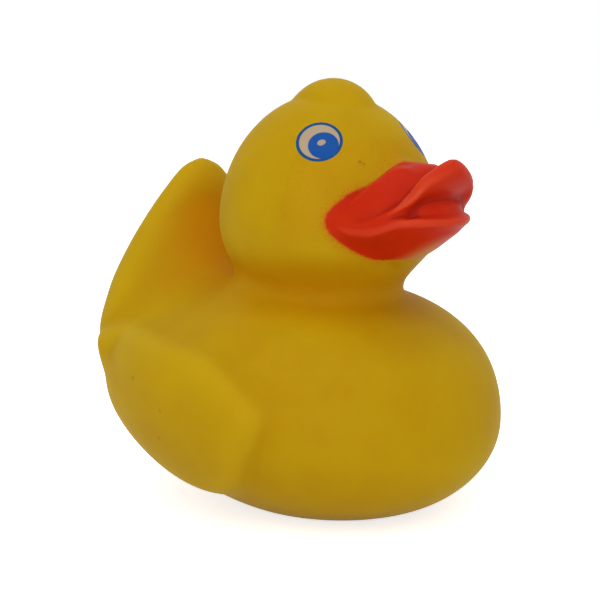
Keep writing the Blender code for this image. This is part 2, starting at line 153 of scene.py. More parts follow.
def smoothThrough(stations, count):
    # read count rows from a smooth curve through the stations
    knots = [0.0]
    for a, b in zip(stations, stations[1:]):
        knots.append(knots[-1] + math.dist(a, b) ** 0.5)
    slopes = []
    last = len(stations) - 1
    for i in range(len(stations)):
        lo, hi = max(i - 1, 0), min(i + 1, last)
        slopes.append([(q - p) / (knots[hi] - knots[lo]) for p, q in zip(stations[lo], stations[hi])])
    rows = []
    span = 0
    for step in range(count):
        at = knots[-1] * step / (count - 1)
        while span < last - 1 and at > knots[span + 1]:
            span += 1
        width = knots[span + 1] - knots[span]
        s = (at - knots[span]) / width
        a = 2 * s**3 - 3 * s**2 + 1
        b = (s**3 - 2 * s**2 + s) * width
        c = (s**3 - s**2) * width
        rows.append([
            a * p + b * m + (1 - a) * q + c * n
            for p, m, q, n in zip(stations[span], slopes[span], stations[span + 1], slopes[span + 1])
        ])
    return rows


def oval(forward, height, halfDepth, halfWidth, steps=96):
    turns = [2 * math.pi * i / steps for i in range(steps)]
    return [(halfWidth * math.sin(t), forward + halfDepth * math.cos(t), height) for t in turns]


def bodyRings(inset=0.0):
    # from the base up the bowl to the belly line, and over the dome to the apex
    form = bodyForm
    belly, base, powers = [], [], []
    for i in range(96):
        turn = 2 * math.pi * i / 96
        ahead, aside = math.cos(turn), math.sin(turn)
        reach = form["chestReach"] if ahead > 0 else form["rumpReach"]
        crest = form["chestHeight"] if ahead > 0 else form["rumpHeight"]
        height = form["flankHeight"] + (crest - form["flankHeight"]) * ahead**2
        belly.append(((form["flankReach"] - inset) * aside, (reach - inset) * ahead, height))
        base.append((form["baseHalfWidth"] * aside, form["baseForward"] + form["baseHalfLength"] * ahead, inset))
        fuller = float(ease(0.5 + 0.5 * ahead))
        powers.append(2 / (form["rumpFullness"] + (form["chestFullness"] - form["rumpFullness"]) * fuller))
    rings = []
    for i in range(21):
        turn = 0.5 * math.pi * i / 20
        ring = []
        for low, high, power in zip(base, belly, powers):
            out, up = math.sin(turn) ** power, 1 - math.cos(turn) ** power
            ring.append(tuple(a + (b - a) * k for a, b, k in zip(low, high, (out, out, up))))
        rings.append(ring)
    for i in range(1, 27):
        turn = 0.5 * math.pi * i / 26.3  # it stops just short of the apex, which leaves a ring to cap
        inward = math.cos(turn) ** (2 / form["domeFullness"])
        up = math.sin(turn) ** (2 / form["domeFullness"])
        rings.append([(side * inward, forward * inward, height + (form["top"] - inset - height) * up)
                      for side, forward, height in belly])
    return rings


tailForm = {
    "rootHeight": 18.0,
    "tipHeight": 73.0,
    "rootBack": 24.0,
    "tipBack": 36.0,
    "sweep": 4.6,
    "halfWidth": 31.4,
    "rootDepth": 20.0,
    # share of the height, of the sweep, of the width and of the root's depth
    "fan": [
        (0.00, 0.00, 0.80, 0.68),
        (0.26, 0.66, 1.00, 0.84),
        (0.47, 0.90, 0.86, 0.66),
        (0.64, 1.00, 0.64, 0.47),
        (0.79, 0.80, 0.42, 0.32),
        (0.89, 0.38, 0.28, 0.23),
        (0.96, 0.10, 0.17, 0.14),
        (1.00, 0.00, 0.02, 0.02),
    ],
}


def tailRings(inset=0.0):
    form = tailForm
    tall = form["tipHeight"] - inset - form["rootHeight"]
    stations = []
    for up, sweep, width, depth in form["fan"]:
        back = form["rootBack"] + (form["tipBack"] - form["rootBack"]) * up + form["sweep"] * sweep
        stations.append((
            form["rootHeight"] + tall * up,
            -back,
            max(form["rootDepth"] * depth - inset, 0.01 * form["rootDepth"]),
            max(form["halfWidth"] * width - inset, 0.01 * form["halfWidth"]),
        ))
    return [oval(forward, up, deep, wide) for up, forward, deep, wide in smoothThrough(stations, 68)]


headForm = {
    "forward": 6.3,
    "height": 60.7,
    "radius": 23.4,
    "top": 87.9,
    "neckHeight": 47.3,
    "neckRadius": 16.6,
    "neckBackStep": 1.5,
    "neckFlare": 8.5,
}


def headRings(inset=0.0):
    # from the flare at the shoulders up the neck, and round the head to the crown
    form = headForm
    neck, radius = form["neckRadius"] - inset, form["radius"] - inset
    rise = form["height"] - form["neckHeight"]
    step, flare = form["neckBackStep"], form["neckFlare"]
    back = form["forward"] - step
    stations = [
        (form["neckHeight"] - flare, back - step, neck + flare),
        (form["neckHeight"] - 0.45 * flare, back - 0.6 * step, neck + 0.26 * flare),
        (form["neckHeight"], back, neck),
        (form["neckHeight"] + 0.36 * rise, back + 0.3 * step, neck + 0.5 * (radius - neck)),
        (form["neckHeight"] + 0.66 * rise, form["forward"], neck + 0.88 * (radius - neck)),
    ]
    for i in range(12):
        turn = 0.5 * math.pi * i / 11.1  # it stops just short of the crown
        stations.append((
            form["height"] + (form["top"] - inset - form["height"]) * math.sin(turn),
            form["forward"],
            radius * math.cos(turn),
        ))
    return [oval(forward, up, wide, wide) for up, forward, wide in smoothThrough(stations, 104)]


lockForm = {"rear": -15.0, "front": 12.5, "halfWidth": 7.6, "rise": 3.0}


def lockRings():
    # the lock of feathers: a steep round front on the crown and a long fade behind
    form = lockForm
    rings = []
    for i in range(1, 44):
        share = i / 44
        swell = math.sin(math.pi * share**1.45) ** 0.5
        ahead = form["rear"] + (form["front"] - form["rear"]) * share
        crown = headForm["height"] + (headForm["top"] - headForm["height"]) * math.sqrt(
            1 - min(abs(ahead) / headForm["radius"], 1.0) ** 2)
        ring = []
        for k in range(40):
            turn = 2 * math.pi * k / 40
            ring.append((
                form["halfWidth"] * swell * math.cos(turn),
                headForm["forward"] + ahead,
                crown - form["rise"] + 2 * form["rise"] * swell * math.sin(turn),
            ))
        rings.append(ring)
    return rings


billForm = {
    "middle": 7.7,
    "reach": 27.3,
    "halfWidth": 17.5,
    "cornerHeight": 62.9,
    "lift": 12.5,
    "bulge": 2.3,
    "tongueBulge": 1.8,
    "lipThickness": 1.8,
    "lipFace": 4.5,
    "mouthOpening": 4.0,
    "throatDrop": 9.6,
    "throatTuck": 0.5,
    # degrees from the middle, share of the reach at the root, then heights above the corner as shares
    # of the lift: the root, the groove behind the rim, the rim, the roof of the mouth, the lower lip
    "sections": [
        (0, 0.46, 0.912, 0.860, 1.000, 0.376, 0.060),
        (20, 0.52, 0.808, 0.560, 0.780, 0.345, 0.060),
        (30, 0.56, 0.728, 0.310, 0.490, 0.170, 0.055),
        (38, 0.62, 0.640, 0.160, 0.250, 0.080, 0.035),
        (50, 0.72, 0.488, 0.020, 0.040, -0.030, -0.070),
        (60, 0.84, 0.312, -0.020, -0.030, -0.060, -0.075),
        (71, 0.97, 0.040, 0.030, 0.020, 0.010, 0.000),
        (78, 0.97, 0.030, 0.025, 0.020, 0.015, 0.010),
    ],
    "drops": [(0.92, 0.16), (0.84, 0.34), (0.74, 0.55), (0.60, 0.77), (0.45, 0.93), (0.32, 1.0)],
}


def billSection(turn, root, top, groove, rim, roof, lower):
    # one upright section of the open bill, fanned out by turn degrees from the middle
    form = billForm
    top, groove, rim, roof, lower = (
        form["cornerHeight"] + form["lift"] * share for share in (top, groove, rim, roof, lower))
    plan = math.cos(math.radians(turn))
    face = rim - roof
    roll = min(0.15 + 0.85 * face / form["lipFace"], 1.0)
    gape = roof - lower
    cheek = form["bulge"] * (0.25 + 0.75 * float(ease((abs(turn) - 8) / 25)))
    cheek *= min((top - groove) / (0.3 * form["lift"]), 1.0) * min((1.0 - root) / 0.34, 1.0)
    tongue = form["tongueBulge"] / form["reach"] * gape / form["mouthOpening"]
    lip = form["lipThickness"]
    throat = form["throatDrop"] * plan**0.8
    out = 1.0 - root
    behind = root + 0.8 * out
    edge = behind + (1.0 - behind) * roll
    crease = edge - (0.02 + 0.09 * roll) * min(gape / 2.0, 1.0)
    stations = [
        (0.32, top),
        (root, top),
        (root + 0.32 * out, top - 0.15 * (top - groove) + cheek),
        (root + 0.60 * out, groove + 0.45 * (top - groove) + 0.75 * cheek),
        (behind, groove),
        (behind + 0.3 * (edge - behind), rim - 0.12 * face),
        (behind + 0.72 * (edge - behind), rim),
        (edge + 0.03 * roll, rim - 0.25 * face),
        (edge + 0.01 * roll, rim - 0.52 * face),
        (edge - 0.05 * roll, rim - 0.80 * face),
        (crease, roof),
        (crease + 0.3 * tongue, roof - 0.12 * gape - 0.1 * lip),
        (crease + 0.8 * tongue, lower + 0.62 * gape - 0.2 * lip),
        (crease + tongue, lower + 0.34 * gape - 0.3 * lip),
        (0.935, lower + 0.02 * gape - 0.4 * lip),
        (0.968, lower + 0.22 * lip),
        (0.992, lower + 0.12 * lip),
        (1.005, lower - 0.3 * lip),
        (0.995, lower - 0.75 * lip),
        (0.965, lower - 1.05 * lip),
    ]
    for share, drop in form["drops"]:
        stations.append((share * (1.0 - form["throatTuck"] * (1.0 - plan) * drop), lower - lip - drop * throat))
    middle = headForm["forward"] + form["middle"]
    aside = form["halfWidth"] / form["reach"] * math.sin(math.radians(turn))
    outline = smoothThrough([(form["reach"] * share, height) for share, height in stations], 180)
    return [(aside * reach, middle + plan * reach, height) for reach, height in outline]


def billSections():
    rows = billForm["sections"]
    both = [(-row[0], *row[1:]) for row in rows[:0:-1]] + rows
    return [billSection(*row) for row in smoothThrough(both, 141)]


moulding = {
    "wall": 2.0,
    # how fine each skin is worked out, and how far its edges are softened
    "coreGrain": 0.7,
    "skinGrain": 0.4,
    "cavityGrain": 1.4,
    "fillet": 4.2,
    "skinFillet": 1.35,
    "skinFaces": 158000,
    # how far the hollow behind the neck fills, where that starts, and over what length it sets in
    "hollowReach": 17.0,
    "hollowFront": 8.0,
    "hollowFade": 14.0,
}

billFolds = {
    "soft": 4.0,  # how far the fold between bill and head is eased
    "mouthShare": 0.35,  # how much of that the mouth gets
    "heights": (52, 80),
    "heightFade": 4,
    "ahead": 4,  # it starts this far ahead of the head's middle
    "aheadFade": 4,
    # distances off the face: the root's band and its fade, and where the mouth starts and sets in
    "rootBand": 3.5,
    "rootFade": 2.5,
    "mouthFrom": 2,
    "mouthFade": 4,
    # heights above and below the corner of the mouth
    "mouthTop": 6.5,
    "mouthBottom": 2,
    "mouthEdge": 2,
    # faces that look up more steeply than this stay crisp
    "steepest": 0.6,
    "steepFade": 0.4,
}


def bakeModifiers(obj):
    depsgraph = bpy.context.evaluated_depsgraph_get()
    baked = bpy.data.meshes.new_from_object(obj.evaluated_get(depsgraph))
    obj.modifiers.clear()
    obj.data = baked
    return obj


def passesFor(reach, grain):
    # how often a skin of this grain is smoothed to soften its edges over the given reach
    return round((reach / grain) ** 2)


def fuse(name, objects, grain, fillet):
    # fuse overlapping forms into one skin, and soften where they meet
    bm = bmesh.new()
    for obj in objects:
        bm.from_mesh(obj.data)
        bpy.data.objects.remove(obj, do_unlink=True)
    fused = linkMesh(name, bm)
    remesh = fused.modifiers.new("Fuse", "REMESH")
    remesh.mode = "VOXEL"
    remesh.voxel_size = grain * mm
    smooth = fused.modifiers.new("Soften", "SMOOTH")
    smooth.factor = 0.5
    smooth.iterations = passesFor(fillet, grain)
    return bakeModifiers(fused)


def readPoints(mesh):
    points = np.empty(len(mesh.vertices) * 3)
    mesh.vertices.foreach_get("co", points)
    return points.reshape(-1, 3)


def readNormals(mesh):
    normals = np.empty(len(mesh.vertices) * 3)
    mesh.vertices.foreach_get("normal", normals)
    return normals.reshape(-1, 3)


def averager(mesh):
    # gives a function that swaps each vertex's values for the average of its neighbours'
    ends = np.empty(len(mesh.edges) * 2, int)
    mesh.edges.foreach_get("vertices", ends)
    ends = ends.reshape(-1, 2)
    one, other = np.concatenate([ends[:, 0], ends[:, 1]]), np.concatenate([ends[:, 1], ends[:, 0]])
    count = len(mesh.vertices)
    neighbours = np.bincount(one, minlength=count)[:, None]

    def average(values):
        columns = [np.bincount(one, values[other, i], count) for i in range(values.shape[1])]
        return np.stack(columns, axis=1) / neighbours

    return average


def sagOutward(obj, reach, grain, share):
    # the skin sags outward where it is hollow, each point by its share of the full move
    mesh = obj.data
    average = averager(mesh)
    points = readPoints(mesh)
    pull = 0.5 * share[:, None]
    for step in range(passesFor(reach, grain)):
        if step % 20 == 0:
            mesh.vertices.foreach_set("co", points.ravel())
            mesh.update()
            normals = readNormals(mesh)
        move = average(points) - points
        outward = np.sum(move * normals, axis=1, keepdims=True)
        points += np.where(outward > 0, move * pull, 0)
    mesh.vertices.foreach_set("co", points.ravel())
    mesh.update()


def fillHollows(obj, grain):
    # fill the hollow behind the neck, so that back and tail run into each other
    backward = readPoints(obj.data)[:, 1] / mm
    share = ease((backward + moulding["hollowFront"]) / moulding["hollowFade"])
    sagOutward(obj, moulding["hollowReach"], grain, share)


def offTheFace(side, forward, height):
    # how far points stand out in front of the head's own skin
    above = np.clip((height - headForm["height"]) / (headForm["top"] - headForm["height"]), 0, 0.98)
    face = np.sqrt(np.maximum(headForm["radius"] ** 2 * (1 - above**2) - side**2, 0))
    return forward - headForm["forward"] - face


def softenBill(obj, grain):
    # ease the folds where the bill leaves the head, and the corner of the mouth under its roof
    folds, corner = billFolds, billForm["cornerHeight"]
    points, normals = readPoints(obj.data) / mm, readNormals(obj.data)
    side, forward, height = np.abs(points[:, 0]), -points[:, 1], points[:, 2]
    standing = offTheFace(side, forward, height)
    low, high = folds["heights"]
    ahead = ease((forward - headForm["forward"] - folds["ahead"]) / folds["aheadFade"])
    ahead = ahead * ease((height - low) / folds["heightFade"]) * ease((high - height) / folds["heightFade"])
    atRoot = ease((folds["rootBand"] - np.abs(standing)) / folds["rootFade"])
    inMouth = ease((standing - folds["mouthFrom"]) / folds["mouthFade"])
    inMouth = inMouth * ease((corner + folds["mouthTop"] - height) / folds["mouthEdge"])
    notUp = ease((folds["steepest"] - normals[:, 2]) / folds["steepFade"])
    inMouth *= notUp * ease((height - corner + folds["mouthBottom"]) / folds["mouthEdge"])
    sagOutward(obj, folds["soft"], grain, np.maximum(atRoot, folds["mouthShare"] * inMouth) * ahead)


def depthInside(points, outline):
    # how far flat points lie inside a closed outline; outside it the distance is negative
    outline = np.array(outline)
    inside = np.zeros(len(points), bool)
    nearest = np.full(len(points), 1e9)
    for start, end in zip(outline, np.roll(outline, -1, axis=0)):
        leg = end - start
        along = np.clip(((points - start) @ leg) / (leg @ leg), 0, 1)
        nearest = np.minimum(nearest, np.linalg.norm(points - start - along[:, None] * leg, axis=1))
        if leg[1]:
            crosses = (start[1] > points[:, 1]) != (end[1] > points[:, 1])
            inside ^= crosses & (points[:, 0] < start[0] + leg[0] * (points[:, 1] - start[1]) / leg[1])
    return np.where(inside, nearest, -nearest)


wingForm = {
    "front": 21.1,
    "back": 33.2,
    "top": 38.2,
    "bottom": 7.0,
    "rise": 2.0,
    "edge": 5.5,
    "rim": 0.6,
    "facing": 0.15,  # the skin rises where it faces sideways more than this
    "facingGain": 1.4,
    # share of the length and of the height, round the side view from the rear top
    "outline": [
        (0.00, 0.88), (0.12, 0.99), (0.30, 1.00), (0.52, 0.97), (0.74, 0.92), (0.88, 0.81), (0.97, 0.68),
        (1.00, 0.56), (0.95, 0.34), (0.86, 0.14), (0.70, 0.02), (0.50, 0.04), (0.32, 0.18), (0.18, 0.37),
        (0.10, 0.54), (0.03, 0.68), (0.00, 0.88),
    ],
}


def raiseWings(obj):
    # push the skin out inside the wing outlines, with a soft edge and a faint rim along it
    form = wingForm
    length, tall = form["front"] + form["back"], form["top"] - form["bottom"]
    corners = [(-form["back"] + length * a, form["bottom"] + tall * b) for a, b in form["outline"]]
    outline = smoothThrough(corners, 97)[:-1]
    points, normals = readPoints(obj.data), readNormals(obj.data)
    facing = ease((np.abs(normals[:, 0]) - form["facing"]) / (1 - form["facing"]) * form["facingGain"])
    depth = depthInside(np.stack([-points[:, 1], points[:, 2]], axis=1) / mm, outline)
    swell = ease(0.5 + depth / form["edge"])
    rim = form["rim"] * swell * (1 - ease((depth - 0.5 * form["edge"]) / (2 * form["edge"])))
    lift = (form["rise"] * swell + rim) * facing * (points[:, 2] < (form["top"] + form["edge"]) * mm)
    points += normals * lift[:, None] * mm
    obj.data.vertices.foreach_set("co", points.ravel())
    obj.data.update()


def boolean(obj, tool, operation):
    cut = obj.modifiers.new("Cut", "BOOLEAN")
    cut.operation = operation
    cut.solver = "EXACT"
    cut.object = tool
    bakeModifiers(obj)
    bpy.data.objects.remove(tool, do_unlink=True)


def plug(radius, bottom, top):
    # a round cutter on the squeaker's axis
    bm = bmesh.new()
    bmesh.ops.create_cone(
        bm, cap_ends=True, segments=128, radius1=radius * mm, radius2=radius * mm, depth=(top - bottom) * mm)
    bmesh.ops.translate(
        bm, verts=bm.verts[:], vec=(0, -bodyForm["baseForward"] * mm, 0.5 * (top + bottom) * mm))
    return linkMesh("plug", bm)


def ridgeHeights(mesh, reach, grain):
    # how far each point stands out from the same skin smoothed over the reach, in millimetres
    average = averager(mesh)
    points = readPoints(mesh)
    smoothed = points
    for step in range(passesFor(reach, grain)):
        smoothed = average(smoothed)
    return np.sum((points - smoothed) * readNormals(mesh), axis=1) / mm


# where the vinyl is hemmed in, for the painted shade in its hollows, and where it stands out as a ridge, for the
# painted highlight on its ridges
hollows = {
    "rays": 40,  # spread evenly over the whole sphere
    "reach": 45.0,
    "standOff": 0.6,  # the rays start this far off the skin
    "grazing": 0.1,  # and those flatter to it than this aren't cast
    "blend": 140,  # how often the outcome is averaged between neighbours
    # a ridge is what stands out from the skin smoothed this far: on the body, and on the lips
    "ridgeReach": 4.5,
    "lipReach": 1.6,
}

print("duck: outer skin")
core = fuse("core", [
    loft("body", bodyRings()),
    loft("tail", tailRings()),
    loft("head", headRings()),
], moulding["coreGrain"], moulding["fillet"])
fillHollows(core, moulding["coreGrain"])
raiseWings(core)
average = averager(core.data)
corePoints, coreNormals = readPoints(core.data), readNormals(core.data)
coreTree = BVHTree.FromObject(core, bpy.context.evaluated_depsgraph_get())
# how far the body's ridges stand out, for their painted highlight
ridge = ridgeHeights(core.data, hollows["ridgeReach"], moulding["coreGrain"])
duckSkin = fuse("duckSkin", [
    core,
    loft("lock", lockRings()),
    loft("bill", billSections()),
], moulding["skinGrain"], moulding["skinFillet"])
softenBill(duckSkin, moulding["skinGrain"])

# how much of the sky each point of the core misses, which sets the painted shade in the hollows
steps = np.arange(hollows["rays"]) + 0.5
polar, turn = np.arccos(1 - 2 * steps / hollows["rays"]), math.pi * (1 + 5**0.5) * steps
directions = np.stack([np.sin(polar) * np.cos(turn), np.sin(polar) * np.sin(turn), np.cos(polar)], axis=1)
facing = coreNormals @ directions.T
castFrom = corePoints + hollows["standOff"] * mm * coreNormals
rays = [Vector(direction) for direction in directions]
hemmed = np.zeros(len(corePoints))
for i, start in enumerate(castFrom.tolist()):
    start = Vector(start)
    for k in np.flatnonzero(facing[i] > hollows["grazing"]):
        if coreTree.ray_cast(start, rays[k], hollows["reach"] * mm)[0]:
            hemmed[i] += facing[i, k]
hemmed = (hemmed / np.where(facing > hollows["grazing"], facing, 0).sum(axis=1))[:, None]
for step in range(hollows["blend"]):
    hemmed = average(hemmed)

# fewer faces where nothing fine is, all of them kept round the bill
fineRound = {"middle": (0, -30, 64), "radius": 20, "fade": 8, "levels": 10}
points = readPoints(duckSkin.data) / mm
fromMiddle = np.linalg.norm(points - np.array(fineRound["middle"]), axis=1)
awayFromBill = ease((fromMiddle - fineRound["radius"]) / fineRound["fade"])
group = duckSkin.vertex_groups.new(name="plain")
for level in range(1, fineRound["levels"] + 1):
    chosen = np.nonzero(np.ceil(awayFromBill * fineRound["levels"]) == level)[0].tolist()
    group.add(chosen, level / fineRound["levels"], "REPLACE")
thin = duckSkin.modifiers.new("Thin out", "DECIMATE")
thin.ratio = min(moulding["skinFaces"] / (2 * len(duckSkin.data.polygons)), 1.0)
thin.vertex_group = "plain"
thin.vertex_group_factor = 1.0
bakeModifiers(duckSkin)
duckSkin.vertex_groups.clear()

# the small flat that it stands on
bm = bmesh.new()
bm.from_mesh(duckSkin.data)
cut = bmesh.ops.bisect_plane(
    bm, geom=bm.verts[:] + bm.edges[:] + bm.faces[:], dist=1e-7,
    plane_co=(0, 0, bodyForm["baseFlat"] * mm), plane_no=(0, 0, -1), clear_outer=True)
rim = [item for item in cut["geom_cut"] if isinstance(item, bmesh.types.BMEdge)]
bmesh.ops.holes_fill(bm, edges=rim, sides=0)
bmesh.ops.recalc_face_normals(bm, faces=bm.faces[:])
bm.to_mesh(duckSkin.data)
bm.free()

print("duck: cavity and squeaker seat")
wall = moulding["wall"]
recessTop = bodyForm["baseFlat"] + squeakerSeat["recessDepth"]
seatTop = recessTop + squeakerSeat["land"]
cavity = fuse("cavity", [
    loft("body", bodyRings(wall)),
    loft("tail", tailRings(wall)),
    loft("head", headRings(wall)),
], moulding["cavityGrain"], moulding["fillet"])
fillHollows(cavity, moulding["cavityGrain"])
boolean(cavity, plug(squeakerSeat["bossRadius"], -wall, seatTop), "DIFFERENCE")
boolean(cavity, plug(squeakerSeat["seatRadius"], -wall, seatTop + wall), "UNION")
boolean(cavity, plug(squeakerSeat["recessRadius"], -wall, recessTop), "UNION")
boolean(duckSkin, cavity, "DIFFERENCE")
# how far the lips stand out, for their painted highlight and shade
lipRidge = ridgeHeights(duckSkin.data, hollows["lipReach"], moulding["skinGrain"])
duckSkin.data.transform(Matrix.Translation(place))
duckSkin.data.shade_smooth()

print("duck: spray on the bill")

billSpray = {
    # the painted edge where the bill meets the head, seen from the front, from the corner to the middle
    "over": [(17.1, 63.2), (16.7, 64.6), (15.5, 66.2), (13.3, 68.2), (11.1, 69.4), (9.0, 70.2), (7.3, 71.1),
             (5.4, 72.2), (3.2, 73.4), (1.5, 74.1), (0.0, 74.3)],
    "under": [(0.0, 54.9), (3.0, 54.8), (5.5, 54.7), (7.4, 54.9), (9.4, 55.5), (11.2, 56.3), (13.0, 57.3),
              (15.0, 58.8), (16.3, 60.2), (17.0, 61.7)],
    "standOff": 1.2,  # whatever stands this far off the face is painted
    "ceiling": 77.0,  # but nothing above this height
    "keep": 6.0,  # distances are kept to this far on either side of the edge
    "ahead": 8,  # it all lies this far ahead of the head's middle,
    "aside": 22,  # within this of the duck's middle
    "above": 50,  # and above this height
    "bareUnderLip": (54.5, 60.5),  # heights between which the paint thins out below the lip
    "bareAcross": (-2.0, 5.0),  # and how far from the middle
}

points = readPoints(duckSkin.data) / mm - np.array(place) / mm
side, forward, height = np.abs(points[:, 0]), -points[:, 1], points[:, 2]
over, under, keep = billSpray["over"], billSpray["under"], billSpray["keep"]
past = -2 * keep  # the outline closes beyond the middle, where the other half mirrors it
outline = over + [(past, over[-1][1]), (past, under[0][1])] + under
depth = depthInside(np.stack([side, height], axis=1), outline)
standing = np.minimum(offTheFace(side, forward, height) - billSpray["standOff"], height - headForm["height"])
standing = np.minimum(standing, billSpray["ceiling"] - height)
depth = np.where(forward > headForm["forward"] + billSpray["ahead"], np.maximum(depth, standing), -keep)
nearBill = (side < billSpray["aside"]) & (height > billSpray["above"])
depth = np.where(nearBill, np.clip(depth, -keep, keep), -keep)
low, high = billSpray["bareUnderLip"]
near, far = billSpray["bareAcross"]
bare = (1 - ease((height - low) / (high - low))) * (1 - ease((side - near) / (far - near)))

# the skin takes its measures for painted shade and highlight from the nearest points of the core
nearest = KDTree(len(corePoints))
for i, point in enumerate(corePoints.tolist()):
    nearest.insert(point, i)
nearest.balance()
closest = [nearest.find(point)[1] for point in (readPoints(duckSkin.data) - np.array(place)).tolist()]
for name, values in (
        ("sprayDepth", depth), ("sprayCover", 1 - bare),
        ("paintedHollowShade", hemmed[closest, 0]), ("ridge", ridge[closest]), ("lipRidge", lipRidge)):
    attribute = duckSkin.data.attributes.new(name, "FLOAT", "POINT")
    attribute.data.foreach_set("value", values.astype(np.float32))

print("duck: materials")

vinylFinish = {
    "yellow": "#BC9607",
    "deepYellow": "#B68C05",
    # painted shade in the hollows
    "paintedShadeOrange": "#C87F02",
    # painted highlight on the ridges
    "paintedRidgeHighlight": "#C6A414",
    "red": "#BC2006",
    "brightRed": "#C62C09",
    # painted highlight on the lips
    "paintedHighlightRed": "#DC6440",
    # painted shade in the bill's folds
    "paintedShadeRed": "#9C1204",
    # painted reflection below the lip
    "paintedSheenPink": "#CFA08C",
    "inkBlue": "#1A529E",
    "inkRing": "#164E80",
    "inkWhite": "#B29F82",
    "speck": "#744A08",
    "vinylRoughness": 0.56,
    "paintRoughness": 0.42,
    "inkRoughness": 0.42,
    "paintGloss": 0.03,
    # in millimetres
    "cloudSize": 12.0,
    "peelSize": 1.5,
    "grainSize": 0.4,  # drawn coarser than the real one, so that it shows
    # painted light and shade on the vinyl and the paint: attribute, its value from and to, most of the tint, and
    # its colour
    "vinylLightAndShade": [
        ("paintedHollowShade", 0.06, 0.6, 1.0, "paintedShadeOrange"),
        ("ridge", 0.08, 0.6, 0.45, "paintedRidgeHighlight"),
    ],
    "lipLightAndShade": [
        ("lipRidge", 0.12, 0.34, 0.28, "paintedHighlightRed"),
        ("lipRidge", 0.3, 0.5, 0.35, "paintedHighlightRed"),
        ("lipRidge", -0.02, -0.2, 0.7, "paintedShadeRed"),
    ],
    # strength of the painted reflection below the lip
    "paintedSheenPatch": 0.7,
}

# millimetres from the painted edge, less than 0 outside the paint
sprayEdge = {
    "soft": (-0.35, 0.3),  # the paint sets in between these
    "ragged": 0.36,  # how far the edge wanders
    "raggedSize": 0.45,
    "dropSize": 0.3,
    "dropsFrom": -3.4,
    "dropLevels": (0.95, 0.5),  # how high the noise has to be for a drop, out there and at the edge
    "dropSoft": 0.05,
    "dropCover": 0.55,
    "haze": (-2.6, 0.2),
    "hazeCover": 0.12,
}

eyePrint = {
    # the middle and the three directions of the print's plane on the head, as forward, side, height
    "middle": (17.5, 13.9, 78.3),
    "facing": (0.508, 0.628, 0.590),
    "toFront": (0.777, -0.629, 0.0),
    "up": (-0.371, -0.458, 0.808),
    # on that plane: how far to the front and up, and the radii
    "ring": (-0.08, 0.33, 4.72),
    "white": (-0.05, 0.29, 4.07),
    "iris": (0.83, -0.66, 3.08),
    "glint": (0.43, -0.09, 0.88, 0.66),
    "glintTilt": 27.0,
    "edge": 0.06,
    "depth": 4.0,  # the print reaches this far off its own plane
    "farSlip": 11.0,  # degrees round the head that the left print sits nearer the bill
}

# marks that handling has left: forward, side, height, radius and strength
handlingSpecks = [
    (24.2, 9.2, 74.4, 0.38, 0.45),
    (24.7, 8.6, 74.0, 0.32, 0.40),
    (-11.1, 39.3, 29.9, 0.45, 0.4),
    (-0.7, 40.6, 24.9, 0.40, 0.25),
    (-3.1, 39.1, 18.6, 0.35, 0.4),
]


